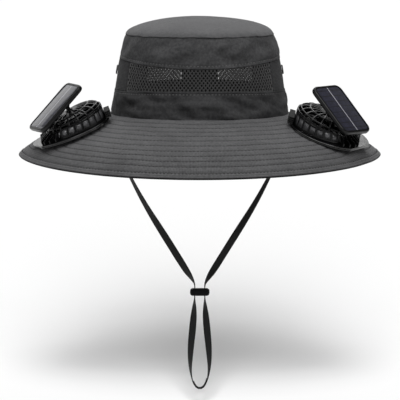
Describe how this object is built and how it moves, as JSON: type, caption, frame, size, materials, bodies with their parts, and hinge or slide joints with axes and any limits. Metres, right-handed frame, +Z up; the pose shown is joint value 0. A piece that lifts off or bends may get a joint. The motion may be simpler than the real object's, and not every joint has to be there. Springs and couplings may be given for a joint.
{
  "type": "solar fan hat",
  "caption": "Wide-brimmed cloth sun hat with a net band in its crown, a fan under a tilting solar panel on each side of the brim, and a chin strap with a slider.",
  "frame": {"origin": "centre of the head opening, level with the seam between crown and brim, where a head holds the hat", "axes": "+Z up through the crown, -Y out of the front of the hat, +X on the right of someone who faces it"},
  "size_m": [0.3624, 0.384, 0.3734],
  "materials": {
    "cloth": "plain woven cotton, dark grey, matt",
    "net": "knitted polyester net, black",
    "tape": "woven flat tape, black",
    "plastic": "moulded black ABS, glossy",
    "cell": "dark blue solar cell under clear resin",
    "snap": "black painted snap stud"
  },
  "bodies": {
    "hat": {"crown_tip": "cloth", "crown_upper_band": "cloth", "crown_lower_band": "cloth", "side_panel_left": "cloth", "side_panel_right": "cloth", "back_panel": "cloth", "mesh_front": "net", "mesh_back_left": "net", "mesh_back_right": "net", "brim": "cloth", "brim_binding": "cloth", "side_snap_left": "snap", "side_snap_right": "snap", "chin_strap": "tape", "strap_slider": "plastic", "fan_base_left": "plastic", "fan_base_right": "plastic", "fan_clamp_left": "plastic", "fan_clamp_right": "plastic", "fan_housing_left": "plastic", "fan_housing_right": "plastic", "fan_vent_left": "plastic", "fan_vent_right": "plastic", "fan_cage_left": "plastic", "fan_cage_right": "plastic", "fan_motor_left": "plastic", "fan_motor_right": "plastic"},
    "rotor_left": {"fan_rotor_left": "plastic"},
    "rotor_right": {"fan_rotor_right": "plastic"},
    "post_left": {"panel_post_left": "plastic"},
    "post_right": {"panel_post_right": "plastic"},
    "panel_left": {"panel_frame_left": "plastic", "solar_cell_left": "cell"},
    "panel_right": {"panel_frame_right": "plastic", "solar_cell_right": "cell"}
  },
  "joints": [
    {"name": "rotor_left_spin", "type": "hinge", "parent": "hat", "child": "rotor_left", "pos_m": [-0.12424, -0.05614, -0.00292], "axis": [-0.4917, -0.1102, 0.8637], "continuous": true},
    {"name": "rotor_right_spin", "type": "hinge", "parent": "hat", "child": "rotor_right", "pos_m": [0.12391, -0.06754, -0.00427], "axis": [0.4227, -0.2307, 0.8764], "continuous": true},
    {"name": "panel_left_swivel", "type": "hinge", "parent": "hat", "child": "post_left", "pos_m": [-0.13245, -0.05798, 0.01151], "axis": [-0.4917, -0.1102, 0.8637], "range_deg": [-90, 90]},
    {"name": "panel_right_swivel", "type": "hinge", "parent": "hat", "child": "post_right", "pos_m": [0.13096, -0.07139, 0.01037], "axis": [0.4227, -0.2307, 0.8764], "range_deg": [-90, 90]},
    {"name": "panel_left_tilt", "type": "hinge", "parent": "post_left", "child": "panel_left", "pos_m": [-0.13245, -0.05798, 0.01151], "axis": [0.342, -0.9397, 0], "range_deg": [-20, 6]},
    {"name": "panel_right_tilt", "type": "hinge", "parent": "post_right", "child": "panel_right", "pos_m": [0.13096, -0.07139, 0.01037], "axis": [0.6157, 0.788, 0], "range_deg": [-20, 6]}
  ]
}
